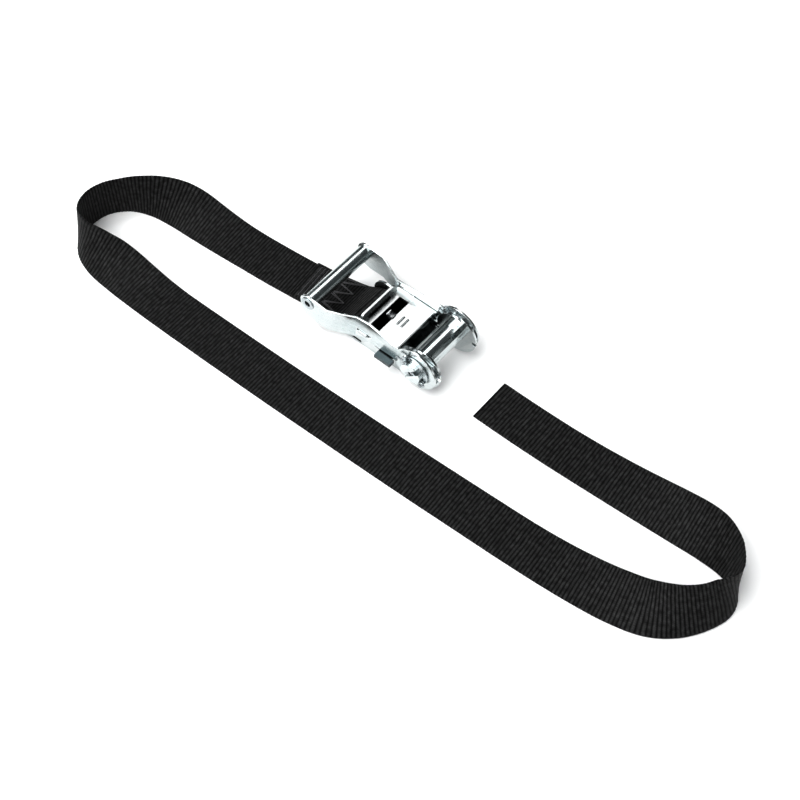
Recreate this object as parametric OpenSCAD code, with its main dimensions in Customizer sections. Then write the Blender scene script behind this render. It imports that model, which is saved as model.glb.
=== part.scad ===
// Ratchet strap for 25 mm webbing: a zinc-plated ratchet buckle with its short sewn strap.
// +X runs from the grip to the webbing spool and +Z is up. The origin is on the ground, in the
// middle of the base's flat web. The buckle is the same on both sides of the plane y = 0, but for
// its anchor bolt and nut.

/* [Webbing] */
// Width of the webbing
strap_w = 25; // [24:0.5:25]
// Thickness of the webbing
strap_t = 1.4; // [1.2:0.1:1.5]

/* [Buckle] */
// Distance from the grip's axis to the spool's axis
handle_len = 64; // [63.5:0.5:66]
// Height of the spool's axis above the ground
spool_z = 15; // [15:0.25:16]
// Radius of the base's round ends
cheek_r = 13.4; // [13.2:0.1:13.6]
// Thickness of the sheet steel
sheet = 1.2; // [1.1:0.1:1.3]
// Overall height of the grip's axis above the ground
grip_z = 18.25; // [17.5:0.25:18.5]
// Diameter of the grip tube
grip_d = 8; // [7:0.5:8.5]

/* [Spool] */
// Diameter of the two half-round bars together
spool_d = 11.6; // [11:0.2:11.6]
// Width of the slot that takes the webbing
slot_w = 2.6; // [2.4:0.1:3.2]
// Lean of the slot from upright at rest, in degrees
slot_lean = 45; // [30:5:60]
// Radius over the tips of the teeth
tip_r = 12.4; // [12.2:0.1:12.4]

/* [Anchor] */
// Diameter of the anchor bolt, which the sewn eye goes round
bolt_d = 6; // [5:0.5:6]
// Height of the anchor bolt's axis
bolt_z = 8.5; // [8:0.25:9]

/* [Hidden] */
$fn = 64;
eps = 0.01;

// Places along X, and the radius of the handle's round ends at the grip and at the spool.
grip_x = -38.25;
grip_r = 5;
handle_r = 12.6;
spool_x = grip_x + handle_len;
bolt_x = grip_x + 20.75;

// Layers along Y, from the middle of the buckle out to the end of the spool.
run_gap = 0.15;
throat = strap_w / 2 + 0.5;
base_out = throat + sheet;
wheel_t = 1.4;
wheel_in = base_out + run_gap;
wheel_out = wheel_in + wheel_t;
handle_in = wheel_out + run_gap;
handle_out = handle_in + sheet;
washer_in = handle_out + 0.2;
washer_t = 0.8;
pin_wire = 1.9;
pin_y = washer_in + washer_t + 0.15 + pin_wire / 2;
spool_end = pin_y + pin_wire / 2 + 0.6;
grip_out = 22.2;

// Teeth on each ratchet wheel, with the turn of the first one's steep face and their root radius.
teeth = 12;
tooth_turn = 182.5;
root_r = 10.4;

// The two pawls. Each is drawn just clear of the teeth, and slides by pawl_in to engage them.
pawl_in = 1.8;
drive_t = 1.5;
drive_z = spool_z - 0.1;
drive_reach = 12.9;
lock_t = 2;
lock_z = spool_z - 5.9;
lock_reach = 11.4;
lock_half = 21;
lock_back = -26.6;
lock_ear = [-22.4, -14.5];
lock_ear_tip = -12.6;

// Stations of the handle's sides, from the grip's axis: along, bottom, top, low y, top y.
knee_z = 17.5;
handle_stations = [
    [12, 7, 22, grip_out, grip_out],
    [19, 7.6, 21.8, (grip_out + handle_out) / 2, 19],
    [26, 9, 22.3, handle_out, 15.7],
    [34, 11.3, 22.9, handle_out, 15.5],
    [42, 12, 22.4, handle_out, 16.2],
    [50, 12.2, 22, handle_out, handle_out],
    [51, 12.2, 22, handle_out, handle_out],
];

// Drive pawl, and the handle's lug for its spring, measured from the grip's axis.
flange_x = 26.2;
flange_top = 21.6;
flange_half = 13.2;
window_x = [31, 37];
window_half = 11.3;
body_end = handle_len - cheek_r - 0.4;
lug_x = [33.0, 33.8];

// Route of the webbing from the sewn eye to its cut end: x and y of the edge that stays lowest,
// turn of the ribbon about its own length in degrees, and height of that edge above the ground.
route = [
    [-27, -12.5, 0, 4.2], [-35, -12.8, 0, 1.6], [-44, -13.6, 0, 0.2], [-58, -15.2, 0, 0],
    [-74, -16.8, 0, 0], [-91, -18.1, 0, 0], [-108, -19.4, 4, 0], [-124, -20.4, 16, 0],
    [-138, -21, 42, 0], [-151, -22.5, 72, 0], [-162, -27, 88, 0], [-169.5, -36, 92, 0],
    [-171, -47, 92, 0], [-168, -58, 98, 0], [-160, -66, 113, 0], [-148, -70.5, 135, 0],
    [-134, -72, 158, 0], [-118, -72.4, 174, 0], [-97, -72.4, 180, 0], [-62, -71.8, 180, 0],
    [-24, -70.9, 180, 0], [14, -69.6, 180, 0], [52, -68.2, 180, 0], [90, -66.4, 180, 0],
    [124, -64.6, 179, 0], [150, -62.4, 173, 0], [170, -59.4, 162, 0], [186, -54.4, 150, 0],
    [198, -45.5, 134, 0], [206, -34, 121, 0], [210, -22, 114, 0], [207, -12, 98, 0],
    [197, -8, 73, 0], [184, -7.5, 45, 0], [167, -8.6, 23, 0], [146, -9.8, 9, 0],
    [122, -11, 2, 0], [98, -12, 0, 0], [77, -12.4, 0, 0], [58.5, -12.4, 0, 0],
];
lap_points = 4;
lap_gap = 0.1;
steps = 3;
stitch_rows = [-57, -54.5, -52, -49.5, -47];

// ---- shared shapes ----

// A solid through a row of rings that have the same number of points.
module loft(rings) {
    m = len(rings[0]);
    n = len(rings);
    first = [for (i = [0:m - 1]) i];
    last = [for (i = [m - 1:-1:0]) (n - 1) * m + i];
    sides = [
        for (k = [0:n - 2], i = [0:m - 1])
            let (j = (i + 1) % m)
            each [[k * m + i, (k + 1) * m + j, k * m + j], [k * m + i, (k + 1) * m + i, (k + 1) * m + j]]
    ];
    polyhedron(points = [for (r = rings) each r], faces = concat([first, last], sides), convexity = 8);
}

// A sheet standing in the XZ plane, from y_out - t to y_out, drawn as (x, z).
module upright(y_out, t) {
    translate([0, y_out, 0]) rotate([90, 0, 0]) linear_extrude(t) children();
}

module both_sides() {
    children();
    mirror([0, 1, 0]) children();
}

// A round bar along Y.
module cross_bar(x, z, d, y0, y1) {
    translate([x, y0, z]) rotate([-90, 0, 0]) cylinder(d = d, h = y1 - y0);
}

module box(low, high) {
    translate(low) cube(high - low);
}

// A helix of round wire along X, as rings of points.
function coil_rings(x0, x1, z, r, wire, turns) = [
    for (k = [0:turns * 16])
        let (a = k * 22.5, along = x0 + (x1 - x0) * k / (turns * 16))
        [for (q = [315:-45:0]) [
            along + wire / 2 * sin(q),
            (r + wire / 2 * cos(q)) * cos(a),
            z + (r + wire / 2 * cos(q)) * sin(a)
        ]]
];

// ---- webbing ----

// A smooth curve through four neighbours, between the second and the third.
function through(a, b, c, d, u) =
    0.5 * (2 * b + (c - a) * u + (2 * a - 5 * b + 4 * c - d) * u * u + (3 * b - a - 3 * c + d) * u * u * u);
function clamp_index(i, n) = min(max(i, 0), n - 1);
function smooth_route(p) = [
    for (i = [0:len(p) - 2], k = [0:steps - 1])
        through(p[clamp_index(i - 1, len(p))], p[i], p[i + 1], p[clamp_index(i + 2, len(p))], k / steps),
    p[len(p) - 1]
];
function flat_unit(v) = [v.x, v.y] / norm([v.x, v.y]);

// The ribbon's four corners at one place, lifted off its own face by off.
function ribbon_ring(here, before, after, off) =
    let (
        run = flat_unit(after - before),
        tilt = min(max(here[2], 0), 180),
        across = [run.y * cos(tilt), -run.x * cos(tilt), sin(tilt)],
        face = [-run.y * sin(tilt), run.x * sin(tilt), cos(tilt)],
        low = [here.x, here.y, max(here[3], 0) + strap_t / 2 * abs(cos(tilt))] + face * off
    )
    [
        low - face * strap_t / 2,
        low + face * strap_t / 2,
        low + across * strap_w + face * strap_t / 2,
        low + across * strap_w - face * strap_t / 2
    ];
function ribbon_rings(p, off) = [
    for (i = [0:len(p) - 1])
        ribbon_ring(p[i], p[max(i - 1, 0)], p[min(i + 1, len(p) - 1)], off)
];

module webbing() {
    color([0.05, 0.05, 0.06]) loft(ribbon_rings(smooth_route(route), 0));
}

// The sewn end: a loop round the anchor bolt, and the lap that lies back on the webbing.
module webbing_eye() {
    neck_z = route[0][3] + strap_t;
    path = smooth_route(route);
    lap = [for (i = [0:(lap_points - 1) * steps]) path[i]];
    color([0.05, 0.05, 0.06]) {
        loft(ribbon_rings(lap, strap_t + lap_gap));
        difference() {
            upright(strap_w / 2, strap_w) hull() {
                translate([bolt_x, bolt_z]) circle(d = bolt_d + 0.1 + 2 * strap_t);
                translate([route[0].x + eps, neck_z]) square([eps, 2 * strap_t + lap_gap], center = true);
            }
            upright(strap_w, 2 * strap_w) hull() {
                translate([bolt_x, bolt_z]) circle(d = bolt_d + 0.1);
                translate([route[0].x + 2.5, neck_z]) circle(r = 0.1);
            }
        }
    }
}

// The y and the height of the webbing's near edge at x, along the lap.
function edge_at(x) = [for (k = [1, 3]) lookup(-x, [for (i = [0:lap_points - 1]) [-route[i].x, route[i][k]]])];

// Rows of thread across the lap.
module stitching() {
    thread = 0.5;
    color([0.25, 0.25, 0.27]) for (x = stitch_rows) {
        edge = edge_at(x);
        translate([x, edge[0] + strap_w / 2, edge[1] + 2 * strap_t + lap_gap + thread / 2 + 0.05])
            cube([thread, strap_w - 4, thread], center = true);
    }
}

// ---- base ----

module base_outline() {
    difference() {
        union() {
            translate([bolt_x, bolt_z - 0.5]) circle(r = bolt_z - 0.5);
            translate([spool_x, spool_z]) intersection() {
                circle(r = cheek_r);
                union() {
                    circle(r = 10.6);
                    polygon([[4, 40], [4, 0], [-10.6, -2], [-40, -10], [-40, -40], [40, -40], [40, 40]]);
                }
            }
            polygon([
                [bolt_x, 0], [spool_x - 12, 0], [spool_x, spool_z - cheek_r], [spool_x, spool_z],
                [spool_x - 10, spool_z - 2], [spool_x - 22, spool_z - 2.4], [bolt_x + 10, 13],
                [bolt_x + 5, 14]
            ]);
        }
        // Slots for the lock pawl, and a short one below the anchor bolt.
        translate([spool_x + lock_back - 2, lock_z - 0.15])
            square([2 - lock_back - lock_reach + pawl_in + 0.3, lock_t + 0.3]);
        translate([bolt_x - 2.5, 1.3]) square([9, 1.5]);
        // Notch that holds the drive pawl when the handle is folded right back.
        translate([spool_x + cheek_r - 2.2, 2 * spool_z - drive_z - drive_t - 0.3]) square([3, drive_t + 0.6]);
        translate([spool_x, spool_z]) circle(d = spool_d + 0.1);
        translate([bolt_x, bolt_z]) circle(d = bolt_d + 0.1);
    }
}

module base_frame() {
    web_half = 12;
    post_x = spool_x - 29;
    color([0.78, 0.8, 0.81]) {
        both_sides() upright(base_out, sheet) base_outline();
        box([-web_half, -base_out + eps, 0], [web_half, base_out - eps, sheet]);
        // Post that the lock pawl's spring pushes against, bent up from the web.
        difference() {
            box([post_x, -4, eps], [post_x + sheet, 4, lock_z + lock_t + 1.6]);
            // Hole for the tail of the lock pawl.
            translate([post_x - 1, 0, lock_z + lock_t / 2]) rotate([0, 90, 0]) cylinder(d = 2.6, h = sheet + 2);
        }
    }
}

module anchor_bolt() {
    color([0.72, 0.74, 0.76]) {
        cross_bar(bolt_x, bolt_z, bolt_d, -base_out - 0.5, base_out + 1.9);
        difference() {
            cross_bar(bolt_x, bolt_z, 9, -base_out - 1.5, -base_out);
            cross_bar(bolt_x, bolt_z, 4, -base_out - 3, -base_out - 1);
        }
    }
}

module anchor_nut() {
    color([0.7, 0.72, 0.74]) translate([bolt_x, base_out, bolt_z]) rotate([-90, 0, 0]) difference() {
        cylinder(d = 9.4, h = 1.5, $fn = 6);
        translate([0, 0, -1]) cylinder(d = bolt_d, h = 5);
    }
}

// ---- lock pawl: a flat plate across the base, whose ears stop the wheels ----

module lock_pawl() {
    front = spool_x - lock_reach;
    back = spool_x + lock_back;
    color([0.62, 0.66, 0.67]) {
        difference() {
            union() {
                // The tips, with a front face cut square to the teeth.
                both_sides() upright(wheel_out, wheel_out - throat + 1) polygon([
                    [back, lock_z], [front, lock_z], [front - 1.3, lock_z + lock_t], [back, lock_z + lock_t]
                ]);
                box([back + 5, -throat, lock_z], [front - 3.5, throat, lock_z + lock_t]);
                both_sides() box([back, 7, lock_z], [back + 5 + eps, throat, lock_z + lock_t]);
                // The ears, which widen outside the handle.
                both_sides() {
                    box([spool_x + lock_ear[0], throat - 1, lock_z],
                        [spool_x + lock_ear[1], lock_half, lock_z + lock_t]);
                    box([spool_x + lock_ear[0], handle_out + 0.3, lock_z],
                        [spool_x + lock_ear_tip, lock_half, lock_z + lock_t]);
                }
            }
            // The hollow front edge between the base's sides.
            translate([front + 8, 0, lock_z - 1]) cylinder(r = 14, h = lock_t + 2);
        }
        // Tail that carries the spring.
        translate([back + 5.5, 0, lock_z + lock_t / 2]) rotate([0, -90, 0]) cylinder(d = 2, h = 9);
    }
}

module lock_pawl_spring() {
    color([0.35, 0.36, 0.38])
        loft(coil_rings(spool_x - 27.4, spool_x - 22, lock_z + lock_t / 2, 2, 0.5, 4));
}

// ---- handle ----

function handle_ring(s) =
    let (x = grip_x + s[0])
    [
        [x, s[3], s[1]], [x, s[3], knee_z], [x, s[4], s[2]],
        [x, s[4] - sheet, s[2]], [x, s[3] - sheet, knee_z], [x, s[3] - sheet, s[1]]
    ];

module grip_plate_outline() {
    first = handle_stations[0];
    translate([grip_x, 0]) {
        translate([0, grip_z]) circle(r = grip_r);
        polygon([
            [-grip_r, grip_z], [-4.7, 13.5], [-3.4, 10.2], [-1, 8], [3, first[1]], [first[0], first[1]],
            [first[0], first[2]], [6, 22.6], [2, 22.9], [0, grip_z + grip_r]
        ]);
    }
}

module spool_plate_outline() {
    last = handle_stations[len(handle_stations) - 1];
    neck_x = grip_x + last[0] - 1;
    translate([spool_x, spool_z]) circle(r = handle_r);
    polygon([
        [neck_x, last[1]], [spool_x - 12, 12], [spool_x, spool_z], [spool_x - 10, last[2] + 0.3],
        [neck_x, last[2]]
    ]);
}

module handle_frame() {
    slot_z = drive_z - 0.2;
    color([0.8, 0.82, 0.83]) {
        both_sides() {
            difference() {
                upright(grip_out, sheet) grip_plate_outline();
                cross_bar(grip_x, grip_z, 5.1, 0, 30);
            }
            difference() {
                loft([for (s = handle_stations) handle_ring(s)]);
                box([grip_x + 27.5, 0, slot_z], [grip_x + 36, 30, slot_z + drive_t + 0.4]);
            }
            difference() {
                upright(handle_out, sheet) spool_plate_outline();
                cross_bar(spool_x, spool_z, spool_d + 0.1, 0, 30);
            }
        }
        web_z = drive_z - 0.25 - 1.2;
        box([grip_x + 38, -handle_in - eps, web_z], [grip_x + body_end - 0.9, handle_in + eps, web_z + 1.2]);
        // Fork with the lug that the drive pawl's spring pushes against.
        both_sides() box([grip_x + lug_x[0], 2.6, web_z], [grip_x + 38 + eps, 4.2, web_z + 1.2]);
        box([grip_x + lug_x[0], -4.2, web_z], [grip_x + lug_x[1], 4.2, web_z + 1.2]);
        box([grip_x + lug_x[0], -1.8, web_z + eps], [grip_x + lug_x[1], 1.8, drive_z + drive_t + 1]);
    }
}

module grip_tube() {
    color([0.75, 0.77, 0.78]) difference() {
        cross_bar(grip_x, grip_z, grip_d, -grip_out + sheet, grip_out - sheet);
        cross_bar(grip_x, grip_z, 5.1, -30, 30);
    }
}

// Tubular rivet through the grip, with its rolled heads outside the handle.
module grip_rivet() {
    color([0.72, 0.74, 0.76]) difference() {
        union() {
            cross_bar(grip_x, grip_z, 5, -grip_out - 0.2, grip_out + 0.2);
            both_sides() cross_bar(grip_x, grip_z, 7.4, grip_out, grip_out + 0.5);
        }
        cross_bar(grip_x, grip_z, 3.4, -30, 30);
    }
}

// ---- drive pawl: a pressed plate that slides in the handle, with a flange for the fingers ----

module drive_pawl() {
    low = drive_z;
    top = drive_z + drive_t;
    arm_x = grip_x + 38;
    tip_x = spool_x - drive_reach;
    color([0.86, 0.88, 0.88]) {
        difference() {
            union() {
                box([grip_x + flange_x, -15.6, low], [grip_x + 45, 15.6, top]);
                box([grip_x + 44, -13, low], [grip_x + body_end, 13, top]);
                both_sides() {
                    box([arm_x, 12.9, low], [grip_x + body_end, wheel_out - 0.1, top]);
                    box([grip_x + body_end - 1, wheel_in + 0.1, low], [tip_x, wheel_out - 0.1, top]);
                    box([grip_x + 29, 15, low], [grip_x + 34, handle_out + 0.9, top]);
                }
            }
            // The window, whose tab carries the spring, and the slit along the flange's bend.
            difference() {
                box([grip_x + window_x[0], -window_half, low - 1],
                    [grip_x + window_x[1], window_half, top + 1]);
                box([grip_x + window_x[1] - 1.6, -1.3, low - 1], [grip_x + window_x[1] + 1, 1.3, top + 1]);
            }
            box([grip_x + flange_x + sheet, -8.5, low - 1], [grip_x + flange_x + sheet + 0.9, 8.5, top + 1]);
        }
        // Finger flange with rounded corners.
        translate([grip_x + flange_x, 0, 0]) rotate([90, 0, 90]) linear_extrude(sheet) {
            flange_outline(low);
        }
    }
}

module flange_outline(low) {
    corner = 2.5;
    translate([-flange_half, low]) square([2 * flange_half, flange_top - corner - low]);
    translate([-flange_half + corner, low]) square([2 * (flange_half - corner), flange_top - low]);
    for (side = [-1, 1]) translate([side * (flange_half - corner), flange_top - corner]) circle(r = corner);
}

module drive_pawl_spring() {
    x0 = grip_x + lug_x[1] + 0.3;
    x1 = grip_x + window_x[1] - 0.3;
    color([0.35, 0.36, 0.38]) loft(coil_rings(x0, x1, drive_z + drive_t / 2, 2, 0.45, 3));
}

// ---- spool ----

// Turns its children from the slot's own frame to the lean of the slot at rest, about the axis.
module on_spool() {
    translate([spool_x, 0, spool_z]) rotate([0, slot_lean, 0]) children();
}

module half_round(side, slack) {
    intersection() {
        circle(d = spool_d + slack);
        translate([side * (50 + slot_w / 2 - slack / 2), 0]) square(100, center = true);
    }
}

module spool_bar(side) {
    color([0.74, 0.76, 0.77]) on_spool() difference() {
        upright(spool_end, 2 * spool_end) half_round(side, 0);
        both_sides() translate([-10, pin_y, 0]) rotate([0, 90, 0]) cylinder(d = pin_wire + 0.2, h = 20);
    }
}
module spool_bar_front() { spool_bar(1); }
module spool_bar_rear() { spool_bar(-1); }

// One tooth: a steep face that the pawls stop on, then a slope down to the next root.
function tooth(i) =
    let (a = tooth_turn + i * 360 / teeth)
    [
        [root_r * cos(a), root_r * sin(a)], [tip_r * cos(a + 0.5), tip_r * sin(a + 0.5)],
        [tip_r * cos(a + 7), tip_r * sin(a + 7)], [root_r * cos(a + 26), root_r * sin(a + 26)]
    ];

module ratchet_wheel() {
    color([0.7, 0.73, 0.74]) difference() {
        translate([spool_x, 0, spool_z]) upright(wheel_out, wheel_t)
            polygon([for (i = [0:teeth - 1]) each tooth(i)]);
        on_spool() for (side = [-1, 1]) upright(30, 60) half_round(side, 0.04);
    }
}
module ratchet_wheel_far() { ratchet_wheel(); }
module ratchet_wheel_near() { mirror([0, 1, 0]) ratchet_wheel(); }

module washer() {
    color([0.72, 0.74, 0.76]) difference() {
        cross_bar(spool_x, spool_z, 17, washer_in, washer_in + washer_t);
        cross_bar(spool_x, spool_z, spool_d + 0.1, 0, 30);
    }
}
module washer_far() { washer(); }
module washer_near() { mirror([0, 1, 0]) washer(); }

// A split pin through both bars: an eye at one end, and two legs bent apart at the other.
module split_pin() {
    half = spool_d / 2;
    eye_r = 1.5;
    color([0.6, 0.62, 0.64]) on_spool() translate([0, pin_y, 0]) {
        translate([-half - 0.8, 0, 0]) rotate([0, 90, 0]) cylinder(d = pin_wire, h = 2 * half + 1.6);
        translate([half + 0.6 + eye_r, 0, 0]) rotate([90, 0, 0])
            rotate_extrude() translate([eye_r, 0]) circle(d = pin_wire * 0.7);
        for (side = [-1, 1]) translate([-half - 0.8, 0, 0]) rotate([0, side * 50 - 90, 0])
            cylinder(d = pin_wire * 0.62, h = 5);
    }
}
module split_pin_far() { split_pin(); }
module split_pin_near() { mirror([0, 1, 0]) split_pin(); }

base_frame();
anchor_bolt();
anchor_nut();
lock_pawl();
lock_pawl_spring();
handle_frame();
grip_tube();
grip_rivet();
drive_pawl();
drive_pawl_spring();
spool_bar_front();
spool_bar_rear();
ratchet_wheel_near();
ratchet_wheel_far();
washer_near();
washer_far();
split_pin_near();
split_pin_far();
webbing();
webbing_eye();
stitching();
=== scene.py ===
import math

import bmesh
import bpy
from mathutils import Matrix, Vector, noise


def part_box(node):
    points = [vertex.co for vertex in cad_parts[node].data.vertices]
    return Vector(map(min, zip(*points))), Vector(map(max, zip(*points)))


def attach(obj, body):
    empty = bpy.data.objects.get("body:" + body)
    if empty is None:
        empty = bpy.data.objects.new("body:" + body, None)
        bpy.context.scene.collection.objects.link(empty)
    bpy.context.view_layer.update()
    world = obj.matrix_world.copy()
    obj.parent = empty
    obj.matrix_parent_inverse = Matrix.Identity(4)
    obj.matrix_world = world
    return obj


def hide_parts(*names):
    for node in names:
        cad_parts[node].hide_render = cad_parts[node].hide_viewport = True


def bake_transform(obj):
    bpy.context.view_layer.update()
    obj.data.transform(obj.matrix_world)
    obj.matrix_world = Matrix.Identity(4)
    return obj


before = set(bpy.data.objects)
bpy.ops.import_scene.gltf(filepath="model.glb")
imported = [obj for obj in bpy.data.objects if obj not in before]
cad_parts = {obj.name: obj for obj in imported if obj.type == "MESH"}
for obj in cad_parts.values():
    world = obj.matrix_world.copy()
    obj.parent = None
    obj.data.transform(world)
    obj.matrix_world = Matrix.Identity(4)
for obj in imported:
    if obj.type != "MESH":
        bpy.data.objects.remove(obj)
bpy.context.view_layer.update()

# Lengths are in millimetres up to the place where a mesh is made, and MM turns them into metres.
MM = 0.001


def middle(node):
    """The middle of a CAD node's box, in millimetres."""
    low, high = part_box(node)
    return (low + high) / 2 / MM


# ---- camera ----

def make_camera():
    """The camera of the main view, in front of the strap and above it."""
    data = bpy.data.cameras.new("camera")
    data.lens = 63
    data.sensor_width = 36
    data.clip_start = 0.02
    camera = bpy.data.objects.new("camera", data)
    camera.location = (0.26725, -0.3154, 0.565)
    camera.rotation_euler = (math.radians(33.65), 0, math.radians(40.03))
    bpy.context.scene.collection.objects.link(camera)
    bpy.context.scene.camera = camera


make_camera()


# ---- the webbing's route, as in the CAD model ----

STRAP_W = 25
STRAP_T = 1.4
# The pitch of the ribs across the webbing.
RIB = 1.8
RINGS_PER_RIB = 6

# At each point: x and y of the edge that stays lowest, the turn about the ribbon's own length in degrees,
# and the height of that edge.
ROUTE = [
    (-27, -12.5, 0, 4.2), (-35, -12.8, 0, 1.6), (-44, -13.6, 0, 0.2), (-58, -15.2, 0, 0),
    (-74, -16.8, 0, 0), (-91, -18.1, 0, 0), (-108, -19.4, 4, 0), (-124, -20.4, 16, 0),
    (-138, -21, 42, 0), (-151, -22.5, 72, 0), (-162, -27, 88, 0), (-169.5, -36, 92, 0),
    (-171, -47, 92, 0), (-168, -58, 98, 0), (-160, -66, 113, 0), (-148, -70.5, 135, 0),
    (-134, -72, 158, 0), (-118, -72.4, 174, 0), (-97, -72.4, 180, 0), (-62, -71.8, 180, 0),
    (-24, -70.9, 180, 0), (14, -69.6, 180, 0), (52, -68.2, 180, 0), (90, -66.4, 180, 0),
    (124, -64.6, 179, 0), (150, -62.4, 173, 0), (170, -59.4, 162, 0), (186, -54.4, 150, 0),
    (198, -45.5, 134, 0), (206, -34, 121, 0), (210, -22, 114, 0), (207, -12, 98, 0),
    (197, -8, 73, 0), (184, -7.5, 45, 0), (167, -8.6, 23, 0), (146, -9.8, 9, 0),
    (122, -11, 2, 0), (98, -12, 0, 0), (77, -12.4, 0, 0), (58.5, -12.4, 0, 0),
]
ROUTE_STEPS = 30
# The lap of the sewn end lies over the first points of the route.
LAP_POINTS = 4
LAP_GAP = 0.1


def through(a, b, c, d, u):
    """A smooth curve through four neighbours, between the second and the third."""
    return 0.5 * (2 * b + (c - a) * u + (2 * a - 5 * b + 4 * c - d) * u * u
                  + (3 * b - a - 3 * c + d) * u * u * u)


def smooth_route(points, steps):
    """A smooth curve through the points, with the same number of steps between each two."""
    made = []
    last = len(points) - 1
    for i in range(last):
        four = [points[min(max(i + k, 0), last)] for k in (-1, 0, 1, 2)]
        for k in range(steps):
            made.append([through(*values, k / steps) for values in zip(*four)])
    made.append(list(points[last]))
    return made


def ribbon_frames(points, offset=0):
    """Where the ribbon's middle lies, the direction of its width, and the direction that it faces."""
    frames = []
    for i, (x, y, turn, lift) in enumerate(points):
        before = points[max(i - 1, 0)]
        after = points[min(i + 1, len(points) - 1)]
        run = Vector((after[0] - before[0], after[1] - before[1])).normalized()
        tilt = math.radians(min(max(turn, 0), 180))
        across = Vector((run.y * math.cos(tilt), -run.x * math.cos(tilt), math.sin(tilt)))
        face = Vector((-run.y * math.sin(tilt), run.x * math.sin(tilt), math.cos(tilt)))
        low = Vector((x, y, max(lift, 0) + STRAP_T / 2 * abs(math.cos(tilt)))) + face * offset
        frames.append((low + across * STRAP_W / 2, across, face))
    return frames


def resample(frames, spacing):
    """The same ribbon with its frames evenly spaced along its middle, and its length."""
    places = [0.0]
    for (here, _, _), (there, _, _) in zip(frames, frames[1:]):
        places.append(places[-1] + (there - here).length)
    count = round(places[-1] / spacing)
    made = []
    k = 0
    for i in range(count + 1):
        place = places[-1] * i / count
        while k < len(frames) - 2 and places[k + 1] < place:
            k += 1
        t = (place - places[k]) / (places[k + 1] - places[k])
        centre, across, face = [a.lerp(b, t) for a, b in zip(frames[k], frames[k + 1])]
        made.append((centre, across.normalized(), face.normalized()))
    return made, places[-1]


# ---- meshes ----

def make_piece(name, points, faces, material, body=None):
    """A smooth mesh object from points in millimetres, with its faces turned outwards."""
    mesh = bpy.data.meshes.new(name)
    mesh.from_pydata([tuple(p * MM for p in point) for point in points], [], faces)
    tidy = bmesh.new()
    tidy.from_mesh(mesh)
    bmesh.ops.recalc_face_normals(tidy, faces=tidy.faces)
    tidy.to_mesh(mesh)
    tidy.free()
    mesh.polygons.foreach_set("use_smooth", [True] * len(mesh.polygons))
    mesh.materials.append(material)
    piece = bpy.data.objects.new(name, mesh)
    bpy.context.scene.collection.objects.link(piece)
    if body:
        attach(piece, body)
    return piece


def ring_faces(rings, size, first=0):
    """Quads between successive rings of points, with a face at each end."""
    faces = []
    for k in range(rings - 1):
        here = first + k * size
        for i in range(size):
            j = (i + 1) % size
            faces.append((here + i, here + j, here + size + j, here + size + i))
    faces.append(tuple(first + i for i in range(size)))
    faces.append(tuple(first + (rings - 1) * size + i for i in reversed(range(size))))
    return faces


def add_tube(points, faces, line, radius, sides, rounded=False):
    """Adds a round tube along a line of points, whose ends may close like a dome."""
    first = len(points)
    side = None
    run = (line[-1] - line[0]).length
    for i, here in enumerate(line):
        near_end = min((here - line[0]).length, (line[-1] - here).length, radius, run)
        share = math.sqrt(max(0.02, 1 - (1 - near_end / radius) ** 2)) if rounded else 1
        along = (line[min(i + 1, len(line) - 1)] - line[max(i - 1, 0)]).normalized()
        if side is None:
            side = along.cross(Vector((0.3, 0.2, 1))).normalized()
        side = (side - along * side.dot(along)).normalized()
        up = along.cross(side)
        for k in range(sides):
            a = 2 * math.pi * k / sides
            points.append(here + (side * math.cos(a) + up * math.sin(a)) * (radius * share))
    faces.extend(ring_faces(len(line), sides, first))


# ---- materials ----

def start_material(name):
    """A new material, its nodes, its links and its shader."""
    material = bpy.data.materials.new(name)
    material.use_nodes = True
    nodes = material.node_tree.nodes
    return material, nodes, material.node_tree.links, nodes["Principled BSDF"]


def add_noise(nodes, links, vector, scale, detail, stretch=(1, 1, 1)):
    """A noise texture on a vector that is stretched first."""
    mapping = nodes.new("ShaderNodeMapping")
    mapping.inputs["Scale"].default_value = stretch
    links.new(vector, mapping.inputs["Vector"])
    texture = nodes.new("ShaderNodeTexNoise")
    texture.inputs["Scale"].default_value = scale
    texture.inputs["Detail"].default_value = detail
    links.new(mapping.outputs["Vector"], texture.inputs["Vector"])
    return texture.outputs["Fac"]


def add_range(nodes, links, value, low, high, start=0.3, stop=0.7):
    """Spreads a texture's value over a range."""
    spread = nodes.new("ShaderNodeMapRange")
    spread.inputs["From Min"].default_value = start
    spread.inputs["From Max"].default_value = stop
    spread.inputs["To Min"].default_value = low
    spread.inputs["To Max"].default_value = high
    links.new(value, spread.inputs["Value"])
    return spread.outputs["Result"]


def add_ramp(nodes, links, value, stops):
    """A colour ramp with stops of (place, colour)."""
    ramp = nodes.new("ShaderNodeValToRGB")
    while len(ramp.color_ramp.elements) < len(stops):
        ramp.color_ramp.elements.new(0.5)
    for element, (place, colour) in zip(ramp.color_ramp.elements, stops):
        element.position = place
        element.color = (*colour, 1)
    links.new(value, ramp.inputs["Fac"])
    return ramp.outputs["Color"]


def add_mix(nodes, links, factor, first, second):
    """Mixes two colours, each of which is a plain colour or comes from another node."""
    mix = nodes.new("ShaderNodeMix")
    mix.data_type = "RGBA"
    links.new(factor, mix.inputs["Factor"])
    for socket, colour in ((mix.inputs["A"], first), (mix.inputs["B"], second)):
        if isinstance(colour, tuple):
            socket.default_value = (*colour, 1)
        else:
            links.new(colour, socket)
    return mix.outputs["Result"]


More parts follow.
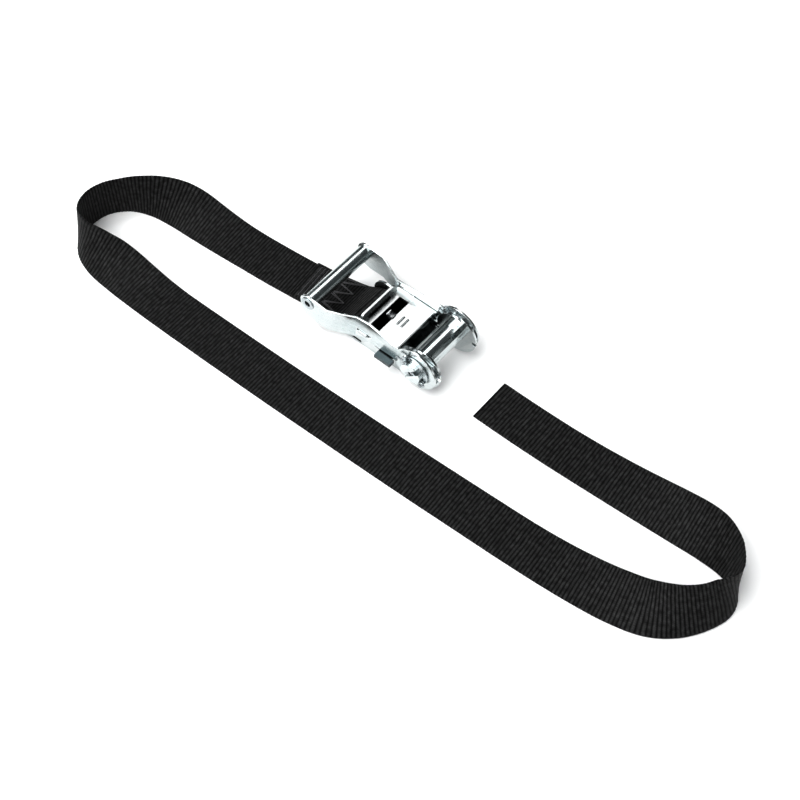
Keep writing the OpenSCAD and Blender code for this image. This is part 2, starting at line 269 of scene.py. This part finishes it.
def add_bump(nodes, links, height, distance, strength, under=None):
    """A bump of a real height in metres, which may lie over another bump."""
    bump = nodes.new("ShaderNodeBump")
    bump.inputs["Distance"].default_value = distance
    bump.inputs["Strength"].default_value = strength
    links.new(height, bump.inputs["Height"])
    if under is not None:
        links.new(under, bump.inputs["Normal"])
    return bump.outputs["Normal"]


# Where a surface counts as an edge, as Blender's pointiness, and how much brighter an edge is.
EDGE_POINTINESS = (0.505, 0.56)
EDGE_BRIGHTER = 1.12
# How much of each colour a passivated cloud leaves.
CLOUD_TINT = (0.80, 0.93, 0.95)


def zinc(name, light, dark, roughness, stretch, grain):
    """Zinc-plated steel: drawn or rolled streaks, a cloudy passivated tint and brighter edges."""
    material, nodes, links, shader = start_material(name)
    place = nodes.new("ShaderNodeTexCoord").outputs["Object"]
    streaks = add_noise(nodes, links, place, 900, 4, stretch)
    clouds = add_noise(nodes, links, place, 110, 3)
    specks = add_noise(nodes, links, place, grain, 2)
    metal = add_ramp(nodes, links, streaks, [(0.35, dark), (0.62, light)])
    tinted = add_mix(nodes, links, add_range(nodes, links, clouds, 0, 0.3), metal,
                     tuple(c * f for c, f in zip(light, CLOUD_TINT)))
    pointiness = nodes.new("ShaderNodeNewGeometry").outputs["Pointiness"]
    edges = add_range(nodes, links, pointiness, 0, 1, *EDGE_POINTINESS)
    coloured = add_mix(nodes, links, edges, tinted, tuple(min(1, c * EDGE_BRIGHTER) for c in light))
    links.new(coloured, shader.inputs["Base Color"])
    links.new(add_range(nodes, links, clouds, roughness - 0.06, roughness + 0.08),
              shader.inputs["Roughness"])
    shader.inputs["Metallic"].default_value = 1
    rolled = add_bump(nodes, links, streaks, 0.00001, 0.35)
    links.new(add_bump(nodes, links, specks, 0.00001, 0.3, rolled), shader.inputs["Normal"])
    return material


def dark_steel(name):
    """Oiled spring wire."""
    material, nodes, links, shader = start_material(name)
    place = nodes.new("ShaderNodeTexCoord").outputs["Object"]
    clouds = add_noise(nodes, links, place, 700, 3)
    links.new(add_ramp(nodes, links, clouds, [(0.3, (0.16, 0.165, 0.17)), (0.7, (0.34, 0.35, 0.37))]),
              shader.inputs["Base Color"])
    links.new(add_range(nodes, links, clouds, 0.28, 0.42), shader.inputs["Roughness"])
    shader.inputs["Metallic"].default_value = 1
    links.new(add_bump(nodes, links, clouds, 0.00001, 0.3), shader.inputs["Normal"])
    return material


def add_wave(nodes, links, value, pitch):
    """A sine from 0 to 1 with a pitch in the value's own unit."""
    turns = nodes.new("ShaderNodeMath")
    turns.operation = "MULTIPLY"
    turns.inputs[1].default_value = 2 * math.pi / pitch
    links.new(value, turns.inputs[0])
    sine = nodes.new("ShaderNodeMath")
    sine.operation = "SINE"
    links.new(turns.outputs[0], sine.inputs[0])
    return add_range(nodes, links, sine.outputs[0], 0, 1, -1, 1)


def read_value(nodes, name):
    """A mesh's own value, which make_ribbon stores for each point."""
    reader = nodes.new("ShaderNodeAttribute")
    reader.attribute_name = name
    return reader.outputs["Fac"]


# The width of one yarn, in millimetres, how dark the painted shade in a groove beside the yarn is, and a
# melted end's colour.
YARN = 0.95
GROOVE_PAINTED_SHADE = 0.05
MELTED = (0.001, 0.001, 0.001)


def woven(name, dark, light):
    """Ribbed polyester: yarns along the webbing, a fibre grain, painted shade in the grooves, and a shiny
    melted end.
    """
    material, nodes, links, shader = start_material(name)
    along = read_value(nodes, "along")
    across = read_value(nodes, "across")
    melt = read_value(nodes, "melt")
    join = nodes.new("ShaderNodeCombineXYZ")
    links.new(along, join.inputs["X"])
    links.new(across, join.inputs["Y"])
    flat = join.outputs["Vector"]
    yarns = add_wave(nodes, links, across, YARN)
    fibres = add_noise(nodes, links, flat, 3.2, 4, (0.35, 2.4, 1))
    patches = add_noise(nodes, links, flat, 0.16, 3, (0.6, 1.6, 1))
    crest = read_value(nodes, "crest")
    thread = add_ramp(nodes, links, fibres, [(0.3, dark), (0.75, light)])
    shaded = add_mix(nodes, links, add_range(nodes, links, patches, 0, 0.45), thread, dark)
    # Painted shade: the colour darkens in the grooves between the ribs, where the rib height is low.
    with_painted_groove_shade = add_mix(nodes, links, add_range(nodes, links, crest, 1, 0, 0.5, 1), shaded,
                     tuple(c * GROOVE_PAINTED_SHADE for c in dark))
    links.new(add_mix(nodes, links, melt, with_painted_groove_shade, MELTED), shader.inputs["Base Color"])
    rough = add_range(nodes, links, fibres, 0.42, 0.60)
    smooth_end = nodes.new("ShaderNodeMapRange")
    smooth_end.inputs["To Max"].default_value = 0.22
    links.new(melt, smooth_end.inputs["Value"])
    links.new(rough, smooth_end.inputs["To Min"])
    links.new(smooth_end.outputs["Result"], shader.inputs["Roughness"])
    shader.inputs["Specular IOR Level"].default_value = 0.1
    bumped = add_bump(nodes, links, yarns, 0.00012, 0.6)
    links.new(add_bump(nodes, links, fibres, 0.00008, 0.5, bumped), shader.inputs["Normal"])
    return material


def thread_material(name):
    """Twisted sewing thread."""
    material, nodes, links, shader = start_material(name)
    place = nodes.new("ShaderNodeTexCoord").outputs["Object"]
    twist = add_noise(nodes, links, place, 2600, 3, (1, 0.35, 1))
    links.new(add_ramp(nodes, links, twist, [(0.3, (0.035, 0.035, 0.038)), (0.7, (0.10, 0.10, 0.105))]),
              shader.inputs["Base Color"])
    links.new(add_range(nodes, links, twist, 0.45, 0.65), shader.inputs["Roughness"])
    shader.inputs["Sheen Weight"].default_value = 0.2
    links.new(add_bump(nodes, links, twist, 0.00005, 0.5), shader.inputs["Normal"])
    return material


# Each zinc slot's light and dark colour, roughness, stretch of its streaks, and scale of its specks.
STEEL = {
    "zinc_frame": zinc("zinc_frame", (0.58, 0.605, 0.605), (0.46, 0.50, 0.505), 0.2, (0.25, 1, 1), 5200),
    "zinc_pawl": zinc("zinc_pawl", (0.46, 0.475, 0.475), (0.36, 0.38, 0.385), 0.26, (1, 0.2, 1), 4800),
    # The lock pawl's zinc is coloured nearly black, far darker than the other zinc parts.
    "zinc_lock": zinc("zinc_lock", (0.060, 0.074, 0.078), (0.034, 0.044, 0.047), 0.30, (1, 0.2, 1), 4800),
    "zinc_bar": zinc("zinc_bar", (0.58, 0.61, 0.61), (0.44, 0.48, 0.49), 0.2, (1, 0.06, 1), 5600),
    "zinc_wheel": zinc("zinc_wheel", (0.40, 0.43, 0.44), (0.26, 0.29, 0.30), 0.26, (1, 1, 1), 4200),
    "zinc_fastener": zinc("zinc_fastener", (0.46, 0.49, 0.50), (0.32, 0.35, 0.36), 0.22, (1, 1, 1), 5200),
    "spring_steel": dark_steel("spring_steel"),
}
WEBBING = woven("polyester_webbing", (0.012, 0.012, 0.0122), (0.080, 0.0805, 0.081))
THREAD = thread_material("thread")


# ---- webbing ----

EDGE_COLUMNS = 4
FACE_COLUMNS = 27
GROOVE_DEPTH = 0.3
# How far the heat of the cut reaches along the webbing.
MELT_REACH = 1.1


def webbing_profile():
    """One ring round the webbing: place across, share of the half thickness there, and side (1 is up)."""
    flat = STRAP_W / 2 - STRAP_T / 2
    top = [(flat * (2 * i / (FACE_COLUMNS - 1) - 1), 1, 1) for i in range(FACE_COLUMNS)]
    arcs = [math.pi * (0.5 - (i + 1) / (EDGE_COLUMNS + 1)) for i in range(EDGE_COLUMNS)]
    right = [(flat + STRAP_T / 2 * math.cos(a), abs(math.sin(a)), math.copysign(1, a)) for a in arcs]
    bottom = [(-across, 1, -1) for across, _, _ in top]
    left = [(-across, share, -side) for across, share, side in right]
    return top + right + bottom + left


def rib_height(place):
    """A rounded rib with narrow grooves on both sides, from 0 to 1."""
    t = 2 * (place / RIB % 1) - 1
    return math.sqrt(max(0, 1 - t * t))


def make_ribbon(name, frames, length, melted):
    """Ribbed webbing along frames, where melted is the place of its heat-cut end."""
    profile = webbing_profile()
    points = []
    values = {"along": [], "across": [], "melt": [], "crest": []}
    for i, (centre, width, face) in enumerate(frames):
        along = length * i / (len(frames) - 1)
        melt = max(0, 1 - abs(along - melted) / MELT_REACH)
        rounded = 1 - 0.55 * max(0, melt - 0.6) / 0.4
        for across, share, side in profile:
            wander = 0.22 * noise.noise(Vector((across * 0.16, along * 0.07, 3 + side)))
            swell = noise.noise(Vector((across * 0.55, along * 0.5, 9 + side)))
            rib = rib_height(along + wander + (side < 0) * RIB / 2) * (0.9 + 0.35 * swell)
            rib = rib * (1 - melt) + 0.6 * melt
            height = STRAP_T / 2 - GROOVE_DEPTH * (1 - min(rib, 1.15))
            if share < 1:
                across += math.copysign(0.06 * (rib - 0.5), across)
            points.append(centre + width * across + face * (side * share * height * rounded))
            values["along"].append(along)
            values["across"].append(across)
            values["melt"].append(min(1, melt * 1.6))
            values["crest"].append(min(max(rib, 0), 1))
    faces = ring_faces(len(frames), len(profile))
    piece = make_piece(name, points, faces, WEBBING, "base")
    for key, numbers in values.items():
        piece.data.attributes.new(key, "FLOAT", "POINT").data.foreach_set("value", numbers)
    return piece


def make_webbing():
    """The strap from the neck of the eye to its cut end, and the points that it follows, in metres."""
    frames, length = resample(ribbon_frames(smooth_route(ROUTE, ROUTE_STEPS)), RIB / RINGS_PER_RIB)
    piece = make_ribbon("webbing_strap", frames, length, length)
    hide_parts("webbing")
    path = [tuple(centre * MM) for centre, _, _ in frames[:-6:12] + frames[-1:]]
    return piece, path


def lap_frames():
    """The lap of the sewn end, from the neck of the eye to its cut end."""
    path = smooth_route(ROUTE, ROUTE_STEPS)[:(LAP_POINTS - 1) * ROUTE_STEPS + 1]
    return ribbon_frames(path, STRAP_T + LAP_GAP)


# The anchor bolt's radius, and the eye's clearance round it.
BOLT_R = 3.0
BOLT_GAP = 0.05
# The angle round the bolt where the eye leaves the lap, and how far it goes round, in degrees.
EYE_START = 125
EYE_TURN = 216
EYE_STEPS = 36


def make_eye():
    """The sewn end: back along its lap over the webbing, then round the anchor bolt to the neck."""
    bolt = middle("anchor_bolt")
    radius = BOLT_R + BOLT_GAP + STRAP_T / 2
    frames = list(reversed(lap_frames()))
    for step in range(EYE_STEPS + 1):
        a = math.radians(EYE_START - EYE_TURN * step / EYE_STEPS)
        out = Vector((math.cos(a), 0, math.sin(a)))
        frames.append((Vector((bolt.x, 0, bolt.z)) + out * radius, Vector((0, 1, 0)), out))
    neck = ribbon_frames(smooth_route(ROUTE, ROUTE_STEPS)[:2])[0]
    frames.append((neck[0], neck[1], -neck[2]))
    frames, length = resample(frames, RIB / RINGS_PER_RIB)
    piece = make_ribbon("webbing_sewn_eye", frames, length, 0)
    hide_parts("webbing_eye")
    return piece


# The thread's radius, the length of a stitch, and how far the thread stands over the lap and dives into it.
THREAD_R = 0.24
STITCH = 2.4
THREAD_ARCH = 0.34
THREAD_SINK = 0.14
# The stitched area's half width, and where each zigzag starts from the neck, how far it reaches along the
# lap, its number of legs and how uneven it is.
STITCHED_HALF = 11
ZIGZAG_STARTS = (3.5, 5.1)
ZIGZAG_REACH = 12
ZIGZAG_LEGS = 6
ZIGZAG_LOOSE = 0.9


def stitch_lines():
    """The lines of thread on the lap: each corner's distance from the neck of the eye, and place across."""
    rows = [[(s, v) for v in (-STITCHED_HALF, STITCHED_HALF)] for s in (20.5, 22.6, 24.7, 26.8, 28.9)]
    zigzags = []
    for start in ZIGZAG_STARTS:
        corners = []
        for k in range(ZIGZAG_LEGS + 1):
            loose = ZIGZAG_LOOSE * math.sin(3.7 * k + 2 * (start - ZIGZAG_STARTS[0]))
            place = STITCHED_HALF * (2 * k / ZIGZAG_LEGS - 1)
            corners.append((start + ZIGZAG_REACH * (k % 2) + loose, place))
        zigzags.append(corners)
    edges = [[(2, v), (19, v)] for v in (-STITCHED_HALF - 0.2, STITCHED_HALF + 0.2)]
    return rows + zigzags + edges


def make_stitching():
    """Lock stitches that dive into the lap at each stitch."""
    lap, length = resample(lap_frames(), 0.25)
    points = []
    faces = []
    for corners in stitch_lines():
        line = []
        run = 0
        for (s0, v0), (s1, v1) in zip(corners, corners[1:]):
            reach = math.hypot(s1 - s0, v1 - v0)
            count = max(2, round(reach / 0.3))
            for k in range(count):
                t = k / count
                s = s0 + (s1 - s0) * t
                v = v0 + (v1 - v0) * t
                centre, across, face = lap[min(round(s / length * (len(lap) - 1)), len(lap) - 1)]
                arch = abs(math.sin(math.pi * (run + reach * t) / STITCH)) ** 0.6
                rise = THREAD_ARCH * arch - THREAD_SINK
                line.append(centre + across * v + face * (STRAP_T / 2 + rise))
            run += reach
        add_tube(points, faces, line, THREAD_R, 6)
    piece = make_piece("stitch_rows", points, faces, THREAD, "base")
    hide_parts("stitching")
    return piece


webbing, webbing_path = make_webbing()
eye = make_eye()
stitches = make_stitching()


# ---- springs ----

SPRING_R = 2
STEPS_PER_TURN = 26
# The turns at each end that lie close together, and the share of the length that even turns would take.
CLOSED_TURNS = 0.7
EVEN_SHARE = 0.14


def make_spring(name, node, turns, wire):
    """A coil along X from one body to another, with closed ends."""
    low, high = (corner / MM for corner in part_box(node))
    centre = (low + high) / 2
    line = []
    count = round(turns * STEPS_PER_TURN)
    for k in range(count + 1):
        t = k / count
        spread = min(max((t * turns - CLOSED_TURNS) / (turns - 2 * CLOSED_TURNS), 0), 1)
        share = spread * (1 - EVEN_SHARE) + t * EVEN_SHARE
        x = low.x + wire / 2 + (high.x - low.x - wire) * share
        a = 2 * math.pi * k / STEPS_PER_TURN
        line.append(Vector((x, centre.y + SPRING_R * math.cos(a), centre.z + SPRING_R * math.sin(a))))
    points = []
    faces = []
    add_tube(points, faces, line, wire / 2, 8)
    piece = make_piece(name, points, faces, STEEL["spring_steel"])
    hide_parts(node)
    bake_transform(piece)


make_spring("lock_spring_coil", "lock_pawl_spring", 5.4, 0.5)
make_spring("drive_spring_coil", "drive_pawl_spring", 4.4, 0.42)


# ---- steel ----

# Each CAD node's material slot, and the width of the rounding of its edges.
ROUNDED = {
    "base_frame": ("zinc_frame", 0.22),
    "handle_frame": ("zinc_frame", 0.25),
    "drive_pawl": ("zinc_pawl", 0.25),
    "lock_pawl": ("zinc_lock", 0.2),
    "anchor_bolt": ("zinc_fastener", 0.25),
    "anchor_nut": ("zinc_fastener", 0.3),
    "grip_tube": ("zinc_bar", 0.1),
    "grip_rivet": ("zinc_fastener", 0.2),
    "spool_bar_front": ("zinc_bar", 0.3),
    "spool_bar_rear": ("zinc_bar", 0.3),
    "ratchet_wheel_near": ("zinc_wheel", 0.12),
    "ratchet_wheel_far": ("zinc_wheel", 0.12),
    "washer_near": ("zinc_fastener", 0.15),
    "washer_far": ("zinc_fastener", 0.15),
    "split_pin_near": ("zinc_fastener", 0.1),
    "split_pin_far": ("zinc_fastener", 0.1),
}


def finish_steel(node, slot_name, width):
    """Gives a CAD node its material and rounded edges."""
    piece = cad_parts[node]
    piece.data.materials.clear()
    piece.data.materials.append(STEEL[slot_name])
    # The imported normals don't fit the rounded mesh.
    if "custom_normal" in piece.data.attributes:
        piece.data.attributes.remove(piece.data.attributes["custom_normal"])
    piece.data.polygons.foreach_set("use_smooth", [True] * len(piece.data.polygons))
    weld = piece.modifiers.new("join", "WELD")
    weld.merge_threshold = 0.002 * MM
    flat = piece.modifiers.new("flat", "DECIMATE")
    flat.decimate_type = "DISSOLVE"
    flat.angle_limit = math.radians(1)
    bevel = piece.modifiers.new("round", "BEVEL")
    bevel.width = width * MM
    bevel.segments = 3
    bevel.limit_method = "ANGLE"
    bevel.angle_limit = math.radians(40)
    bevel.use_clamp_overlap = True
    bevel.miter_outer = "MITER_ARC"
    even = piece.modifiers.new("even", "WEIGHTED_NORMAL")
    even.keep_sharp = False


for node, (slot_name, width) in ROUNDED.items():
    finish_steel(node, slot_name, width)


# The height of the top of the drive pawl's plate, under its flange.
PAWL_TOP = 16.4
# How far each rib lies behind the pawl's front edge, a rib's half length and radius, and how deep it lies.
PRESSED_RIBS = (10.2, 7.6)
PRESSED_HALF = 3.5
PRESSED_R = 0.75
PRESSED_DEPTH = 0.42


def make_pressed_ribs():
    """Two plain parallel ribs pressed up in the drive pawl's plate."""
    low, high = (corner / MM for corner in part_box("drive_pawl"))
    centre = (low + high) / 2
    steps = 12
    points = []
    faces = []
    for back in PRESSED_RIBS:
        middle_of_rib = Vector((high.x - back, centre.y, PAWL_TOP - PRESSED_DEPTH))
        line = []
        for k in range(-steps, steps + 1):
            line.append(middle_of_rib + Vector((0, PRESSED_HALF * k / steps, 0)))
        add_tube(points, faces, line, PRESSED_R, 24, rounded=True)
    make_piece("pawl_pressed_ribs", points, faces, STEEL["zinc_pawl"], "drive_pawl")


make_pressed_ribs()


# ---- floor, light ----

# Half the floor's side, in metres.
FLOOR_HALF = 30
# The lights reach only the near floor, so the far floor glows. The glow grows between these distances.
FLOOR_FADE = (0.7, 1.6)
FLOOR_GLOW = 1.1


def make_floor():
    """A plain pale floor that stays pale to the horizon."""
    mesh = bpy.data.meshes.new("floor")
    corners = [(FLOOR_HALF * x, FLOOR_HALF * y, 0) for x, y in ((-1, -1), (1, -1), (1, 1), (-1, 1))]
    mesh.from_pydata(corners, [], [(0, 1, 2, 3)])
    material, nodes, links, shader = start_material("pale_floor")
    place = nodes.new("ShaderNodeTexCoord").outputs["Object"]
    grain = add_noise(nodes, links, place, 40, 3)
    links.new(add_ramp(nodes, links, grain, [(0.2, (0.93, 0.93, 0.93)), (0.8, (0.95, 0.95, 0.95))]),
              shader.inputs["Base Color"])
    shader.inputs["Roughness"].default_value = 0.9
    distance = nodes.new("ShaderNodeVectorMath")
    distance.operation = "LENGTH"
    links.new(place, distance.inputs[0])
    glow = add_range(nodes, links, distance.outputs["Value"], 0, FLOOR_GLOW, *FLOOR_FADE)
    shader.inputs["Emission Color"].default_value = (0.95, 0.95, 0.95, 1)
    links.new(glow, shader.inputs["Emission Strength"])
    mesh.materials.append(material)
    floor = bpy.data.objects.new("floor", mesh)
    bpy.context.scene.collection.objects.link(floor)


# Where the lights point, in metres.
LIT_PLACE = (0.03, -0.03, 0)


def make_light(name, place, size, power):
    """A soft white light at a place, in metres."""
    data = bpy.data.lights.new(name, "AREA")
    data.shape = "RECTANGLE"
    data.size = size[0]
    data.size_y = size[1]
    data.energy = power
    light = bpy.data.objects.new(name, data)
    light.location = place
    light.rotation_euler = (Vector(LIT_PLACE) - Vector(place)).to_track_quat("-Z", "Y").to_euler()
    bpy.context.scene.collection.objects.link(light)


# The colour at each height of the sky, from 0 at the horizon to 1 overhead.
SKY = [
    (0, (1.25, 1.25, 1.25)),
    (0.05, (0.9, 0.9, 0.9)),
    (0.28, (0.066, 0.082, 0.086)),
    (1, (0.14, 0.15, 0.155)),
]


def make_world():
    """A studio that is pale near the horizon and dim above it, which the steel reflects as dark bands."""
    world = bpy.data.worlds.new("studio")
    world.use_nodes = True
    nodes = world.node_tree.nodes
    links = world.node_tree.links
    direction = nodes.new("ShaderNodeTexCoord").outputs["Generated"]
    split = nodes.new("ShaderNodeSeparateXYZ")
    links.new(direction, split.inputs["Vector"])
    links.new(add_ramp(nodes, links, split.outputs["Z"], SKY), nodes["Background"].inputs["Color"])
    nodes["Background"].inputs["Strength"].default_value = 0.8
    bpy.context.scene.world = world


make_floor()
make_world()
make_light("back_softbox", (-0.40, 0.36, 1.03), (0.7, 0.5), 3.4)
make_light("left_key", (-0.45, -0.62, 1.35), (1.5, 1.5), 34)
make_light("front_fill", (0.75, -0.80, 1.15), (1.4, 1.0), 14)
bpy.context.scene.view_settings.view_transform = "Standard"
bpy.context.scene.view_settings.gamma = 0.78
